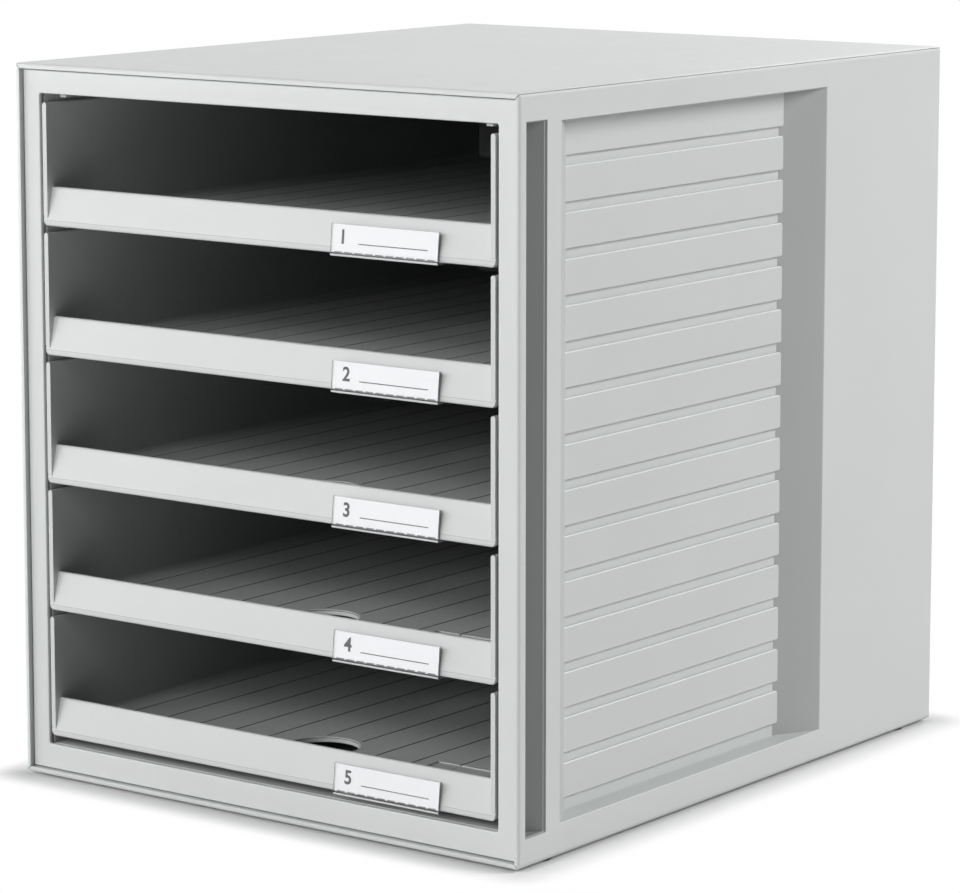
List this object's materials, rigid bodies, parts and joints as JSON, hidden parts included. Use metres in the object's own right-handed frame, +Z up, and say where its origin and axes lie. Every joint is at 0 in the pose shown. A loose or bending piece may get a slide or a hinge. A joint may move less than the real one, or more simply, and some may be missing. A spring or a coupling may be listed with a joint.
{
  "type": "desktop file drawer",
  "caption": "Plastic desktop cabinet with open-front sliding trays for A4 papers, ribbed grip recesses in its sides and clip-on label holders.",
  "frame": {"origin": "on the surface it stands on, under the middle of the cabinet", "axes": "+Z up, +X to the right as seen from the front, +Y to the rear; the trays slide out along -Y"},
  "size_m": [0.275, 0.33, 0.32],
  "materials": {
    "casing_plastic": "light grey moulded polystyrene, satin",
    "tray_plastic": "light grey moulded polystyrene, satin",
    "clear_plastic": "clear, polished",
    "white_card": "white paper card, matt",
    "foot_rubber": "dark rubber, matt"
  },
  "bodies": {
    "casing": {"left_side_panel": "casing_plastic", "right_side_panel": "casing_plastic", "top_panel": "casing_plastic", "bottom_panel": "casing_plastic", "back_panel": "casing_plastic", "front_frame": "casing_plastic", "foot_front_left": "foot_rubber", "foot_front_right": "foot_rubber", "foot_rear_left": "foot_rubber", "foot_rear_right": "foot_rubber", "ledge_left_1": "casing_plastic", "ledge_left_2": "casing_plastic", "ledge_left_3": "casing_plastic", "ledge_left_4": "casing_plastic", "ledge_left_5": "casing_plastic", "ledge_right_1": "casing_plastic", "ledge_right_2": "casing_plastic", "ledge_right_3": "casing_plastic", "ledge_right_4": "casing_plastic", "ledge_right_5": "casing_plastic", "top_stop_left": "casing_plastic", "top_stop_right": "casing_plastic"},
    "drawer_1": {"drawer_tray_1": "tray_plastic", "label_holder_1": "clear_plastic", "label_card_1": "white_card"},
    "drawer_2": {"drawer_tray_2": "tray_plastic", "label_holder_2": "clear_plastic", "label_card_2": "white_card"},
    "drawer_3": {"drawer_tray_3": "tray_plastic", "label_holder_3": "clear_plastic", "label_card_3": "white_card"},
    "drawer_4": {"drawer_tray_4": "tray_plastic", "label_holder_4": "clear_plastic", "label_card_4": "white_card"},
    "drawer_5": {"drawer_tray_5": "tray_plastic", "label_holder_5": "clear_plastic", "label_card_5": "white_card"}
  },
  "joints": [
    {"name": "drawer_1_slide", "type": "slide", "parent": "casing", "child": "drawer_1", "axis": [0, -1, 0], "range_m": [0, 0.25]},
    {"name": "drawer_2_slide", "type": "slide", "parent": "casing", "child": "drawer_2", "axis": [0, -1, 0], "range_m": [0, 0.25]},
    {"name": "drawer_3_slide", "type": "slide", "parent": "casing", "child": "drawer_3", "axis": [0, -1, 0], "range_m": [0, 0.25]},
    {"name": "drawer_4_slide", "type": "slide", "parent": "casing", "child": "drawer_4", "axis": [0, -1, 0], "range_m": [0, 0.25]},
    {"name": "drawer_5_slide", "type": "slide", "parent": "casing", "child": "drawer_5", "axis": [0, -1, 0], "range_m": [0, 0.25]}
  ]
}
